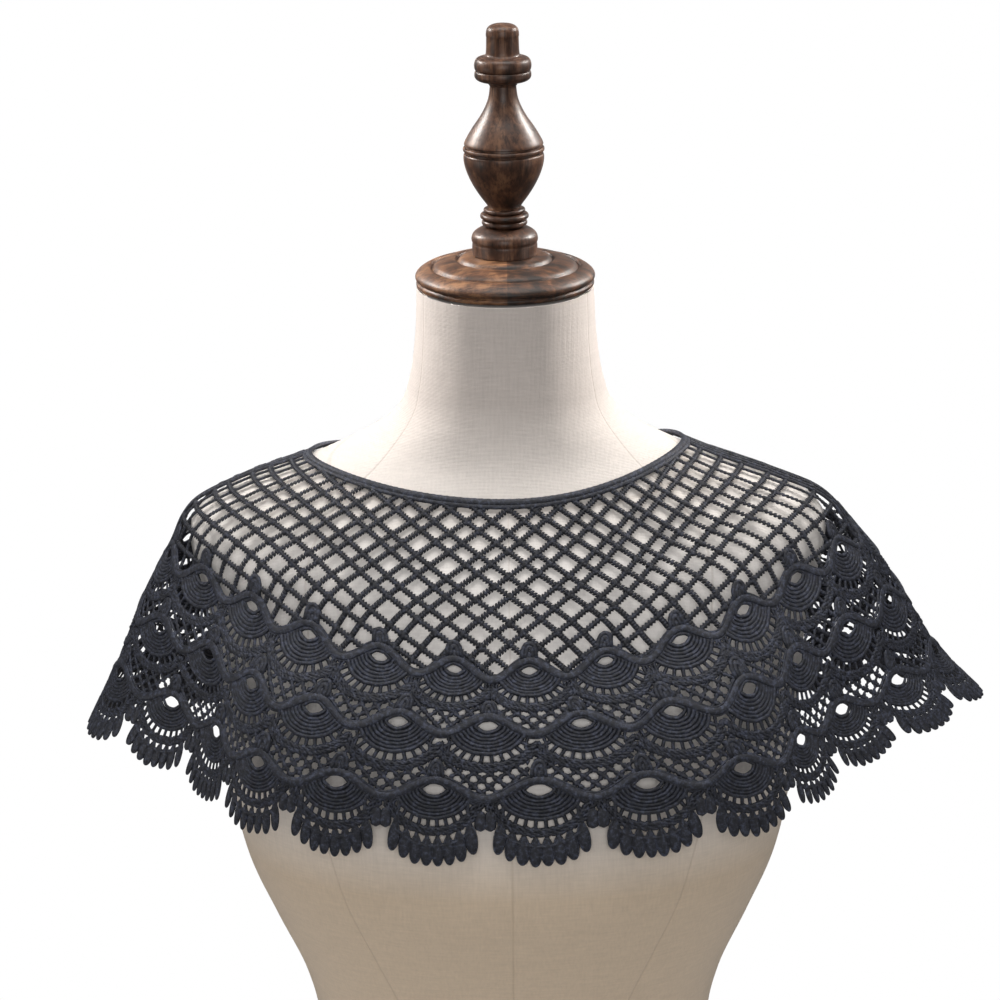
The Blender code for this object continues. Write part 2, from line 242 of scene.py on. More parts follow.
for tier in range(3):
    ring = sheet(np.linspace(0, 1, 721), np.full(721, TIER_DEPTHS[tier]))
    around = np.linalg.norm(np.diff(ring, axis=0), axis=1).sum()
    print(f"tier {tier + 1}: {around:.3f} m round, {1000 * around / FANS:.1f} mm a fan")

# %% [markdown]
# ## Cords
#
# Guipure is nothing but cords, so one tool makes them all. A cord is a line of places on the
# sheet, each with a height over it and half of the cord's width and thickness there. An oval is
# carried along the line, and its long axis lies in the cloth. A curve object with a bevel could
# do this too, but thousands of them are slow, so all cords of a piece are worked out at once.


# %% A tool that makes cords
def add_piece(name, mesh):
    """Puts a mesh into the scene as a piece that goes with the object."""
    made = bpy.data.objects.new(name, mesh)
    bpy.context.scene.collection.objects.link(made)
    return made


def mark(mesh, name, values):
    """Keeps a number on each point of a mesh, for its material to read."""
    kept = mesh.attributes.new(name, "FLOAT", "POINT")
    kept.data.foreach_set("value", values.astype(np.float32))


class Cords:
    """Cords that are gathered line by line and made into one piece.

    Each point of a line is (fan, depth, height, half width, half thickness). A point of the
    oval is the middle plus half width times cos(a) across the cord, in the cloth, plus half
    thickness times sin(a) away from it, with a going once round from the oval's top.
    """

    # The number given after the sides scales the colour of the whole piece: above 1 it is painted
    # light, below 1 painted shade.
    def __init__(self, sides, painted_light=1.0):
        self.sides, self.painted_light = sides, painted_light
        self.lines, self.closed = [], []

    def add(self, fan, depth, height, width, thick, closed=False):
        """Adds one cord; any of its measures may be a single number."""
        columns = np.broadcast_arrays(fan, depth, height, width, thick)
        self.lines.append(np.stack(columns, axis=-1).astype(float))
        self.closed.append(closed)

    def piece(self, name):
        """All cords as one closed mesh.

        Its UV map holds the way along the cord in millimetres, one value for each ring of
        faces, and the share of the way round it.
        """
        sizes = np.array([len(line) for line in self.lines])
        closed = np.repeat(self.closed, sizes)
        fan, depth, height, width, thick = np.concatenate(self.lines).T
        index = np.arange(len(fan))
        first = np.repeat(np.cumsum(sizes) - sizes, sizes)
        last = first + np.repeat(sizes, sizes) - 1
        before = np.where(index > first, index - 1, np.where(closed, last, index))
        after = np.where(index < last, index + 1, np.where(closed, first, index))

        turn = turn_of(fan)
        out = outward(turn, depth)
        middle = sheet(turn, depth) + out * height[:, None] * MM
        along = unit(middle[after] - middle[before])
        across = unit(np.cross(along, out))
        lift = np.cross(across, along)
        a = (pi / 2 + np.arange(self.sides) / self.sides * 2 * pi)[:, None]
        points = (
            middle[:, None]
            + across[:, None] * (np.cos(a) * width[:, None, None] * MM)
            + lift[:, None] * (np.sin(a) * thick[:, None, None] * MM)
        )
        step = np.linalg.norm(middle[after] - middle, axis=1) / MM
        total = np.cumsum(step) - step
        way = total - total[first]

        corner = np.arange(len(fan) * self.sides).reshape(-1, self.sides)
        beside = np.roll(corner, -1, axis=1)
        here = index[(index != last) | closed]
        there = after[here]
        quads = np.stack([corner[here], corner[there], beside[there], beside[here]], axis=-1)
        starts, ends = (index[(index == tip) & ~closed] for tip in (first, last))
        caps = np.concatenate([corner[starts], corner[ends][:, ::-1]])
        k = np.arange(self.sides)
        quads_uv, caps_uv = np.zeros((*quads.shape, 2)), np.zeros((*caps.shape, 2))
        quads_uv[..., 0] = way[here][:, None, None]
        quads_uv[..., 1] = np.stack([k, k, k + 1, k + 1], axis=-1) / self.sides
        caps_uv[..., 0] = way[np.concatenate([starts, ends])][:, None]

        made = bpy.data.meshes.new(name)
        made.vertices.add(corner.size)
        made.vertices.foreach_set("co", points.ravel())
        loops = np.concatenate([quads.ravel(), caps.ravel()]).astype(np.int32)
        totals = np.repeat([4, self.sides], [quads.size // 4, len(caps)]).astype(np.int32)
        made.loops.add(len(loops))
        made.loops.foreach_set("vertex_index", loops)
        made.polygons.add(len(totals))
        made.polygons.foreach_set("loop_start", np.cumsum(totals, dtype=np.int32) - totals)
        made.polygons.foreach_set("loop_total", totals)
        made.update(calc_edges=True)
        uv = np.concatenate([quads_uv.ravel(), caps_uv.ravel()]).astype(np.float32)
        made.uv_layers.new(name="cord").data.foreach_set("uv", uv)
        # Each point keeps the piece's painted light and shade, for the lace's material to read.
        mark(made, "painted_light", np.full(corner.size, self.painted_light))
        made.shade_smooth()
        return add_piece(name, made)


def stretches(keep):
    """Start and end of each run of True values that has two points or more."""
    change = np.diff(np.concatenate([[0], np.asarray(keep).astype(int), [0]]))
    starts, ends = np.flatnonzero(change == 1), np.flatnonzero(change == -1)
    return [(a, b) for a, b in zip(starts, ends) if b - a > 1]


def toothed(count, width, tooth):
    """Half widths along a bar with a row of teeth, four points to a tooth, and its sway."""
    i = np.arange(count) % 4
    teeth, sway = np.array([1.0, 0.1, -1.0, 0.1])[i], np.array([0.0, 1.0, 0.0, -1.0])[i]
    return width + tooth * teeth, sway


rng = np.random.default_rng(24)
print("the cord tool is ready")

# %% [markdown]
# ## The yoke's net
#
# The yoke is an even net of toothed bars, cut as a half ring. In the flat cut the bars are two
# families of straight lines at right angles. Wrapped round the neck, the squares stand on
# their points at the front and turn level with the shoulders at the sides, which is how the
# photograph shows them. So the lines are drawn in the flat cut and carried onto the sheet.

# %% The net's bars and knots
# Pitch of the bars and how much it is wide and narrow by turns, the radius of the flat cut at
# the neck edge, and how the cut's depth is stretched in front and over the shoulders.
NET_PITCH, NET_UNEVEN = 10.9, 0.8
NET_STEP = 0.5
NET_RADIUS = 200.0
NET_STRETCH_FRONT, NET_STRETCH_SIDE = 1.12, 0.92
# Half width and teeth of a bar where it is stout and where it is slack, and its slow wave.
NET_HALF_WIDTHS, NET_TEETH, NET_HALF_THICK = (1.62, 1.38), (0.55, 0.8), 0.8
NET_SWAY = 0.3
NET_WAVE, NET_WAVE_LENGTH = 0.45, 31.0
# A knot is a short fat cord: places along it, widths and thicknesses, as shares of its size.
KNOT_HALF_WIDTH = 2.25
KNOT_ALONG = np.array([-1.0, -0.55, 0.55, 1.0])
KNOT_WIDTHS = np.array([0.35, 0.95, 0.95, 0.35])
KNOT_THICKS = np.array([0.5, 1.15, 1.15, 0.5])


def flat_to_sheet(x, y):
    """From a place in the flat half ring to its fan and its depth."""
    turn = np.arctan2(x, y) / pi
    mean = (NET_STRETCH_FRONT + NET_STRETCH_SIDE) / 2
    swing = (NET_STRETCH_FRONT - NET_STRETCH_SIDE) / 2
    stretch = mean + swing * np.cos(4 * pi * turn)
    return turn * FANS - FAN_SHIFT, (np.hypot(x, y) - NET_RADIUS) / stretch


def in_half(fan, half):
    """Whether places are in the front or the back half of the shawl."""
    first, last = HALVES[half]
    return (fan - first) % FANS < last - first


def unwrapped(fan, half):
    """The same fans, counted on from the half's first seam, so that lines stay whole."""
    first, _ = HALVES[half]
    return first + (fan - first) % FANS


def net_line(family, offset, phase):
    """Places along one line of the flat net, at small even steps."""
    reach = NET_RADIUS + NET_STRETCH_FRONT * TIER_DEPTHS[0] + 20
    s = np.arange(-reach, reach, NET_STEP)
    c = offset + NET_WAVE * np.sin(s / NET_WAVE_LENGTH + phase)
    along, off = s / np.sqrt(2), c / np.sqrt(2)
    if family == 0:
        return off + along, off - along
    return -off + along, off + along


def net_offsets():
    """How far each line of a family is from the flat cut's middle: wide and narrow by turns."""
    count = int((NET_RADIUS + NET_STRETCH_FRONT * TIER_DEPTHS[0]) / NET_PITCH) + 2
    i = np.arange(-count, count + 1)
    return (i + 0.5) * NET_PITCH + NET_UNEVEN * (-1.0) ** i + rng.normal(0, 0.3, len(i))


def net_bar(family, offset, half, cords):
    """One toothed bar, cut off at the binding and at the first braid."""
    x, y = net_line(family, offset, rng.uniform(0, 6))
    fan, depth = flat_to_sheet(x, y)
    inside = (y > 0) & (depth > BINDING_WIDTH - 2.5) & in_half(fan, half)
    inside &= depth < braid_depth(0, fan) + 0.5
    side = 1 if family else -1
    for a, b in stretches(inside):
        if b - a < 6:
            continue
        stout = eased(-side * x[a:b], -40, 40)
        core, tooth = (
            slack + (full - slack) * stout for full, slack in (NET_HALF_WIDTHS, NET_TEETH)
        )
        width, sway = toothed(b - a, core, tooth)
        shift = sway * NET_SWAY * (1 - stout) / np.sqrt(2)
        f, d = flat_to_sheet(x[a:b] - side * shift, y[a:b] + shift)
        height = NET_HALF_THICK + 0.12 + 0.28 * family
        cords.add(unwrapped(f, half), np.maximum(d, 3.0), height, width, NET_HALF_THICK)


def yoke_net(half):
    """The bars of one half, from the binding to the first braid, with knots where they cross."""
    # The net's bars are made darker than the fans, as painted shade.
    cords = Cords(sides=4, painted_light=0.72)
    offsets = net_offsets(), net_offsets()
    for family in (0, 1):
        for offset in offsets[family]:
            net_bar(family, offset, half, cords)
    one, other = (values.ravel() for values in np.meshgrid(*offsets))
    x, y = (one - other) / np.sqrt(2), (one + other) / np.sqrt(2)
    fan, depth = flat_to_sheet(x, y)
    keep = (y > 0) & in_half(fan, half)
    keep &= (depth > BINDING_WIDTH) & (depth < braid_depth(0, fan) - 2)
    thick = KNOT_THICKS * NET_HALF_THICK
    for at, down in zip(unwrapped(fan[keep], half), depth[keep]):
        size = KNOT_HALF_WIDTH * rng.uniform(0.85, 1.1)
        cords.add(at, down + KNOT_ALONG * size, NET_HALF_THICK + 0.35, KNOT_WIDTHS * size, thick)
    return cords.piece(f"net_{half}")


nets = {half: yoke_net(half) for half in HALVES}
for net in nets.values():
    print(net.name, len(net.data.polygons), "faces")

# %% [markdown]
# ## The fans
#
# Under each arch of a braid sits a fan: an almond eye, then cords laid side by side in
# widening half rings, a row of small gaps between short bars, and a nubbly outer band. The
# photograph repeats this motif without change, so it is drawn once per tier in a fan's own
# measure (share of a fan across, millimetres down from the braid's crest) and carried to every
# fan with a little of the unevenness that stitched cords have.

# %% One fan and its neighbours
# A fan's width, how far its eye lies under the braid's crest, the eye's half width, and its half
# height in each tier.
FAN_WIDTH, EYE_DROP = 46.5, 6.4
ARC_ACROSS, EYE_DOWN = 6.5, (3.7, 4.2, 5.0)
ARC_COUNT, ARC_STEPS, BAR_COUNT = 7, 20, 12
# The outer band is two lanes of two strands; each strand swings to and fro across its lane.
BAND_STEPS, BAND_TURNS, BAND_SWING = 44, 11, 1.05
BAND_STRANDS = ((0.2, 0), (0.2, pi), (2.6, 0.5), (2.6, pi + 0.5))
# Height over the sheet, half width and half thickness of each kind of cord.
EYE_CORD = (1.15, 1.2, 1.0)
ARC_CORD, LAST_ARC_CORD = (1.05, 1.45, 0.9), (1.2, 1.45, 1.05)
BAR_CORD = (0.8, np.array([1.4, 1.12, 1.12, 1.5]), 0.75)

# For each tier: depth of the last arc and of the outer band under the eye, half width of both.
FAN_REACH = ((16.6, 23.8, 19.2, 25.8), (17.2, 24.4, 18.8, 25.4), (19.0, 27.0, 17.2, 20.6))


def crest(u):
    """Depth of the braid's middle below its crest, at a share of a fan from the eye."""
    return BRAID_WAVE * (1 - np.cos(2 * pi * u))


def half_ring(across, down, steps):
    """The part of an oval round the eye that lies below the braid: its u and its drop."""
    t = np.radians(np.linspace(-50, 230, 281))
    u, y = across * np.cos(t) / FAN_WIDTH, EYE_DROP + down * np.sin(t)
    runs = stretches((y > crest(u) + 0.6) & (np.abs(u) < 0.497))
    a, b = max(runs, key=lambda run: run[1] - run[0])
    pick, every = np.linspace(a, b - 1, steps), np.arange(len(t))
    return np.interp(pick, every, u), np.interp(pick, every, y)


def fan_cords(tier):
    """The cords of one fan: u, drop, height, half width and thickness, and whether it closes."""
    last, band, last_across, band_across = FAN_REACH[tier]
    t = np.linspace(0, 2 * pi, 23)[:-1]
    almond = EYE_DROP + EYE_DOWN[tier] * np.sin(t) * np.abs(np.sin(t)) ** 0.7
    made = [(ARC_ACROSS * np.cos(t) / FAN_WIDTH, almond, *EYE_CORD, True)]
    for i in range(1, ARC_COUNT):
        share = i / (ARC_COUNT - 1)
        across = ARC_ACROSS + (last_across - ARC_ACROSS) * share
        down = EYE_DOWN[tier] + (last - EYE_DOWN[tier]) * share
        cord = LAST_ARC_CORD if i == ARC_COUNT - 1 else ARC_CORD
        made.append((*half_ring(across, down, ARC_STEPS), *cord, False))
    s = np.linspace(0, 1, 4)
    across, down = last_across + (band_across - last_across) * s, last + (band - last) * s
    for angle in np.radians(np.linspace(22, 158, BAR_COUNT)):
        u, y = across * np.cos(angle) / FAN_WIDTH, EYE_DROP + down * np.sin(angle)
        if y[-1] > crest(u[-1]) + 3 and abs(u[-1]) < 0.5:
            made.append((u, y, *BAR_CORD, False))
    i = np.arange(BAND_STEPS)
    for lane, strand in BAND_STRANDS:
        u, y = half_ring(band_across + lane, band + lane, BAND_STEPS)
        twist = i / BAND_STEPS * 2 * pi * BAND_TURNS + strand
        twist = twist + 0.7 * np.sin(i * 0.83 + lane)
        grow = 1 + BAND_SWING * np.cos(twist) / np.hypot(u * FAN_WIDTH, y - EYE_DROP)
        u, y = u * grow, EYE_DROP + (y - EYE_DROP) * grow
        height, width = 1.0 + 0.25 * np.sin(twist), 1.25 + 0.24 * np.sin(2 * twist)
        made.append((u, y, height, width, 0.85, False))
    return made


def fan_centres(tier, half):
    """The fans of a tier whose centres are in a half."""
    first, last = HALVES[half]
    return [k + TIER_SHIFTS[tier] for k in range(-12, 24) if first < k + TIER_SHIFTS[tier] <= last]


def fans(tier, half, cords):
    """Carries the tier's motif to each of its fans, each a little different."""
    motif = fan_cords(tier)
    for centre in fan_centres(tier, half):
        wide, tall = 1 + rng.normal(0, 0.02), 1 + rng.normal(0, 0.025)
        lean = rng.normal(0, 0.25)
        for u, y, height, width, thick, closed in motif:
            drop = EYE_DROP + (y - EYE_DROP) * tall + lean * u * 4
            wave = 0.15 * np.sin(np.arange(len(u)) * 1.9 + rng.uniform(0, 6))
            depth = arch_top(tier) + drop + wave
            cords.add(centre + u * wide, depth, height, width, thick, closed)


print("cords in a fan:", len(fan_cords(0)))

# %% [markdown]
# ## Braids, buds and trellis
#
# The braid over each tier is a padded rope with a fine cord along each side, and it runs
# without a break from fan to fan. On each arch stands a bud of three fused lobes under a small
# arched cord. Between a tier's outer bands and the next braid the cloth is a trellis of thin
# toothed cords, slanted both ways.

# %% The braids
BRAID_HALF_WIDTH, BRAID_HALF_THICK = 2.15, 0.8
BRAID_STEPS = 30


def braid(tier, half, cords):
    """A tier's padded rope and the two fine cords beside it, from seam to seam."""
    first, last = HALVES[half]
    fan = np.linspace(first, last, int((last - first) * BRAID_STEPS) + 1)
    depth = braid_depth(tier, fan)
    swell = 1 + 0.05 * np.sin(fan * 9.1) + 0.03 * np.sin(fan * 23.0)
    cords.add(fan, depth, 1.75, BRAID_HALF_WIDTH * swell, BRAID_HALF_THICK)
    slant = np.hypot(1, BRAID_WAVE * 2 * pi / FAN_WIDTH * np.sin(2 * pi * fan))
    for side in (-1, 1):
        edge = depth + side * (BRAID_HALF_WIDTH + 0.25) * slant
        cords.add(fan, edge, 0.95, 0.65, 0.8)


print("points in a braid's cord:", int(BRAID_STEPS * FANS / 2) + 1)

# %% The buds
# Height of a bud in each tier, and for each of its arches the inset from its half width, the
# share of its height and the cord's half width.
BUD_HEIGHTS, BUD_HALF_WIDTH = (8.8, 9.4, 10.4), 4.9
BUD_ARCHES = ((1.0, 1.0, 1.45), (3.0, 0.74, 1.6))


def buds(tier, half, cords):
    """Two arched cords, one inside the other, round a short ridge on top of each arch."""
    foot = arch_top(tier) - 1.0
    t, s = np.linspace(0, pi, 17), np.linspace(0, 1, 7)
    round_end = np.sqrt(np.clip(1 - ((s - 0.35) / 0.67) ** 2, 0.02, 1))
    for centre in fan_centres(tier, half):
        tall = BUD_HEIGHTS[tier] + rng.normal(0, 0.4)
        local = fan_width(centre, arch_top(tier))
        lean = rng.normal(0, 0.5) / local
        for inset, share, width in BUD_ARCHES:
            u = (BUD_HALF_WIDTH - inset) * np.cos(t) / local + lean * np.sin(t)
            nub = width + 0.12 * np.cos(np.arange(len(t)) * 2.3)
            cords.add(centre + u, foot - tall * share * np.sin(t) ** 0.6, 1.25, nub, 1.0)
        cords.add(centre + lean * s, foot - tall * 0.5 * s, 1.3, 1.5 * round_end, 1.1 * round_end)


print("buds in a tier:", sum(len(fan_centres(0, half)) for half in HALVES))

# %% The trellis
TRELLIS_PITCH, TRELLIS_STEP = 6.2, 0.8
TRELLIS_HALF_WIDTH, TRELLIS_TOOTH = 1.25, 0.4


def from_eye(tier, fan):
    """Share of a fan from the nearest eye of a tier, -0.5 to 0.5."""
    return (fan - TIER_SHIFTS[tier] + 0.5) % 1 - 0.5


def band_depth(tier, fan):
    """Depth of the middle of a tier's outer bands."""
    _, band, _, band_across = FAN_REACH[tier]
    across = from_eye(tier, fan) * FAN_WIDTH / band_across
    return arch_top(tier) + EYE_DROP + band * np.sqrt(np.clip(1 - across**2, 0, 1))


def trellis(tier, half, cords):
    """Slanted cords from a tier's outer bands down to the next tier's braid."""
    first, last = HALVES[half]
    width = FAN_WIDTH + 5.0 * tier + 2.0
    top, reach = TIER_DEPTHS[tier] + 8, TIER_DEPTHS[tier + 1] - TIER_DEPTHS[tier]
    bud_top = TIER_DEPTHS[tier + 1] - BRAID_WAVE - BUD_HEIGHTS[tier + 1]
    down = np.arange(0, reach, TRELLIS_STEP / np.sqrt(2))
    half_width, sway = toothed(len(down), TRELLIS_HALF_WIDTH, TRELLIS_TOOTH)
    for side in (-1, 1):
        offset = first * width - reach
        while offset < last * width + reach:
            fan = (offset + side * down + sway * 0.2) / width
            depth = top + down + 0.4 * np.sin(down / 5 + offset)
            keep = (depth > band_depth(tier, fan) - 0.5) & (fan > first) & (fan < last)
            keep &= depth < braid_depth(tier + 1, fan) + 1
            in_bud = np.abs(from_eye(tier + 1, fan)) * width < BUD_HALF_WIDTH - 1
            keep &= ~(in_bud & (depth > bud_top))
            for a, b in stretches(keep):
                cords.add(fan[a:b], depth[a:b], 0.75 + 0.15 * side, half_width[a:b], 0.65)
            offset += TRELLIS_PITCH * np.sqrt(2) + rng.normal(0, 0.3)


print("depth of the bands under the first tier's eyes:", float(band_depth(0, 0.0)))

# %% [markdown]
# ## Junctions and the hem
#
# Where two fans meet, the first tier has a nubbly leaf of crinkled cords and the second an
# open gap with a cord down each side. Under the last fans a row of padded petals hangs from
# the outer band, linked by a cord with small holes above and below it. Between two scallops
# stand two padded nubs with a slit between them and a cord on either side.

# %% Junctions
LEAF_LANES, LEAF_PITCH = (-1.5, -0.5, 0.5, 1.5), 2.3
JUNCTION_DROP = 12.5


def junctions(tier, half, cords):
    """What fills the place where two fans of the first or second tier meet under the dip."""
    top = arch_top(tier) + 2 * BRAID_WAVE + 1
    for centre in fan_centres(tier, half):
        middle = centre + 0.5
        if tier == 0:
            s, i = np.linspace(0, 1, 14), np.arange(14)
            for lane in LEAF_LANES:
                crinkle = 0.5 * np.sin(i * 2.3 + lane * 2)
                u = (lane * LEAF_PITCH * (1 - 0.25 * s) + crinkle) / FAN_WIDTH
                thick = 0.9 + 0.15 * np.cos(i * 2.9)
                drop = (JUNCTION_DROP - abs(lane)) * s
                cords.add(middle + u, top + drop, 1.0, thick * 1.15, thick)
        else:
            s, i = np.linspace(0, 1, 12), np.arange(12)
            for side in (-1, 1):
                u = side * (3.2 + 1.6 * np.sin(pi * s)) / FAN_WIDTH
                nub = 1.0 + 0.18 * np.cos(i * pi)
                cords.add(middle + u, top + JUNCTION_DROP * s, 0.9, nub, 0.8)


print("cords in a leaf:", len(LEAF_LANES))

# %% The hem's petals and nubs
PETALS = 8
PETAL_SPREAD = 0.385
# Petals overlap where a fan is wide and stand apart where the folds draw it in (fan widths in mm).
PETAL_FILL = ((42, 60), (0.92, 1.11))
PETAL_HALF_WIDTHS = (2.1, 4.4)
# Half a petal's outline: shares of its length, of its waist there, and where its round end starts.
PETAL_ALONG = np.array([0, 0.14, 0.3, 0.48, 0.64, 0.75, 0.84, 0.91, 0.96, 0.99, 1.0])
PETAL_WAIST = ((0, 0.14, 0.3, 0.5, 0.75), (0.28, 0.42, 0.82, 1.0, 1.0))
PETAL_ROUND_FROM = 0.56
PETAL_ROOT = 2.6
RIM_CORD, LINK_CORD = (1.35, 0.5, 0.6), (1.2, 1.35, 0.9)


def hem_line(u):
    """Depth of the petals' tips, at a share of a fan from the scallop's middle."""
    return HEM_DEPTH - SCALLOP_RISE * np.abs(2 * u) ** 2.2


def petals(half, cords, rims):
    """Eight padded petals to each scallop, a fine cord round each one, and one that links them."""
    s = PETAL_ALONG
    tip_round = np.sqrt(np.clip(1 - (np.maximum(s - PETAL_ROUND_FROM, 0) / 0.442) ** 2.2, 0.01, 1))
    body = np.interp(s, *PETAL_WAIST) * tip_round
    t = np.linspace(-1, 1, 17)
    rim_s = 1 - (1 - 0.14) * np.abs(t) ** 2.2
    for centre in fan_centres(2, half):
        for j in range(PETALS):
            tip_u = PETAL_SPREAD * (2 * j / (PETALS - 1) - 1)
            root_u = tip_u * 0.9
            root = band_depth(2, centre + root_u) + PETAL_ROOT
            tip = hem_line(tip_u) - 0.6 + rng.normal(0, 0.35)
            local = fan_width(centre + tip_u, tip)
            pitch = local * 2 * PETAL_SPREAD / (PETALS - 1)
            wide = np.clip(pitch / 2 * np.interp(local, *PETAL_FILL), *PETAL_HALF_WIDTHS)
            wide = wide * rng.uniform(0.95, 1.03)
            u, y = root_u + (tip_u - root_u) * s, root + (tip - root) * s
            cords.add(centre + u, y, 0.95, wide * body, 0.3 + 0.75 * body)
            rim_w = (wide - 0.5) * np.interp(rim_s, s, body) * np.sign(t)
            rim_u = root_u + (tip_u - root_u) * rim_s + rim_w / local
            rims.add(centre + rim_u, root + (tip - root) * (rim_s - 0.02), *RIM_CORD)
        u = PETAL_SPREAD * np.linspace(-1.0, 1.0, 36)
        root = band_depth(2, centre + 0.92 * u) + PETAL_ROOT
        arches = 0.8 * np.abs(np.cos(np.linspace(0, (PETALS - 1) * pi, 36)))
        rims.add(centre + 0.94 * u, root + 0.3 * (hem_line(u) - root) + arches, *LINK_CORD)


def notches(half, cords):
    """Two padded nubs under each dip of the last braid, with a slit and a cord beside each."""
    dip = arch_top(2) + 2 * BRAID_WAVE
    s = np.linspace(0, 1, 12)
    nub = np.sqrt(np.clip(1 - (2 * s - 1) ** 4, 0.03, 1)) * (0.85 + 0.15 * s)
    for centre in fan_centres(2, half):
        middle = centre + 0.5
        local = fan_width(middle, dip + 12)
        size = np.clip(local / 62, 0.6, 1.1)
        for side in (-1, 1):
            u = side * 2.9 * size / local
            cords.add(middle + u, dip + 7.5 + 13.0 * s, 1.0, 3.8 * size * nub, 0.3 + 0.8 * nub)
            u = side * (9.6 - 1.2 * s + 1.4 * np.sin(pi * s)) * size / local
            width = 1.1 + 0.15 * np.cos(9 * pi * s)
            cords.add(middle + u, dip - 2.0 + 19.0 * s, 0.95, width, 0.85)


print("depth of the hem in a scallop's middle:", hem_line(0.0))

# %% The border's pieces
TIERS = range(len(TIER_DEPTHS))


def border(half):
    """The border's pieces in one half: the fans of each two tiers, the braids and the hem."""
    # The two upper tiers, the braids and the buds are made lighter than the last tier and the hem,
    # as painted light.
    upper, lower = Cords(sides=4, painted_light=1.12), Cords(sides=4)
    ropes, tops = Cords(sides=8, painted_light=1.15), Cords(sides=6, painted_light=1.05)
    hem, rims = Cords(sides=8), Cords(sides=4)
    for tier in TIERS[:2]:
        fans(tier, half, upper)
        junctions(tier, half, upper)
    for tier in TIERS[:2]:
        trellis(tier, half, upper)
    fans(2, half, lower)
    for tier in TIERS:
        braid(tier, half, ropes)
        buds(tier, half, tops)
    petals(half, hem, rims)
    notches(half, hem)
    made = {"fans": upper, "last_fans": lower, "braids": ropes, "buds": tops}
    made |= {"petals": hem, "petal_rims": rims}
    return {name: cords.piece(f"{name}_{half}") for name, cords in made.items()}


borders = {half: border(half) for half in HALVES}
for pieces in borders.values():
    for piece in pieces.values():
        print(piece.name, len(piece.data.polygons), "faces")

# %% [markdown]
# ## The neck binding and the shoulder cords
#
# Two cords are whipped together round the neck, a stout one above a finer one. A pair of
# cords also runs over each shoulder from the binding to the first braid, where the halves are
# joined.

# %% The binding and the shoulder cords
# Depth, half width and half thickness of the two cords round the neck.
BINDING_CORDS = ((1.9, 2.0, 1.2), (4.8, 1.5, 1.0))


def binding():
    """The two cords round the neck and the stitches that whip them together."""
    cords = Cords(sides=8)
    fan = np.arange(0, FANS, 1 / 20)
    ripple = 1 + 0.05 * np.cos(np.arange(len(fan)) * 2.1)
    for depth, width, thick in BINDING_CORDS:
        cords.add(fan, depth, thick + 0.1, width * ripple, thick, closed=True)
    s = np.linspace(0, 1, 4)
    for at in np.arange(0, FANS, 1 / 9):
        cords.add(at + 0.05 * s, 2.4 + 2.6 * s, 1.9 - 0.5 * s, 0.45, 0.5)
    return cords.piece("neck_cords")


def shoulder_cords():
    """A pair of cords down each shoulder seam."""
    cords = Cords(sides=8)
    nub = 1.25 + 0.22 * np.cos(np.arange(90) * 2.2)
    for seam in (RIGHT_SEAM, LEFT_SEAM):
        for side in (-1, 1):
            depth = np.linspace(5.5, braid_depth(0, seam), 90)
            away = side * 1.7 / (2.1 * (depth + NET_RADIUS) / FANS)
            cords.add(seam + away, depth, 1.35, nub, 1.0)
    return cords.piece("shoulder_cords")


neck_cords, shoulders = binding(), shoulder_cords()
print(neck_cords.name, len(neck_cords.data.polygons), "faces")

# %% [markdown]
# ## The linen-covered form
#
# The cover is sewn from panels and stretched over a smooth body, so the form is one surface
# through its sections with the seams as fine creases. It is a function of an angle and a
# height on an even grid. Distances from the seams are kept on the points, and the linen's
# material draws its creases from them.

# %% The form
FORM_COLUMNS, FORM_ROWS = 192, 150
# The neck's seam is this high at the front and at the back.
NECK_SEAM_FRONT, NECK_SEAM_BACK = 14.0, 62.0
# The side seams' angle from the front, in radians, at these heights.
SIDE_SEAM = ((-590, -440, -330, -178, -60, 20), (0.60, 0.62, 0.55, 0.78, 0.95, 1.1))


def closed_surface(name, grid, ends, crease, downward=False):
    """A piece through rings of points, shut at each end by faces to one point.

    A face's corners are (i, j), (i, j + 1), (i + 1, j + 1) and (i + 1, j) on the grid. Where the
    rings go downward they are taken the other way round, so that every face points out.
    """
    corner = np.arange(grid[..., 0].size).reshape(grid.shape[:2])
    beside = np.roll(corner, -1, axis=1)
    quads = np.stack([corner[:-1], beside[:-1], beside[1:], corner[1:]], axis=-1).reshape(-1, 4)
    end = np.full(grid.shape[1], corner.size)
    first = np.stack([beside[0], corner[0], end], axis=-1)
    last = np.stack([corner[-1], beside[-1], end + 1], axis=-1)
    if downward:
        quads, first, last = quads[:, [0, 3, 2, 1]], first[:, [1, 0, 2]], last[:, [1, 0, 2]]
    made = bpy.data.meshes.new(name)
    points = np.vstack([grid.reshape(-1, 3), ends])
    made.from_pydata(points.tolist(), [], [*quads.tolist(), *first.tolist(), *last.tolist()])
    made.update()
    made.shade_smooth()
    made.set_sharp_from_angle(angle=radians(crease))
    return add_piece(name, made)


def form_surface(angle, height):
    """Places on the form in millimetres over the tips; the neck's top leans to the front."""
    r = form_radius(angle, height)
    x, y = r * np.sin(angle), -r * np.cos(angle)
    z = height + y * np.tan(NECK_LEAN * eased(height, LEAN_FROM, FORM_SECTIONS[-1, 0]))
    return np.stack([x, y, z], axis=-1)


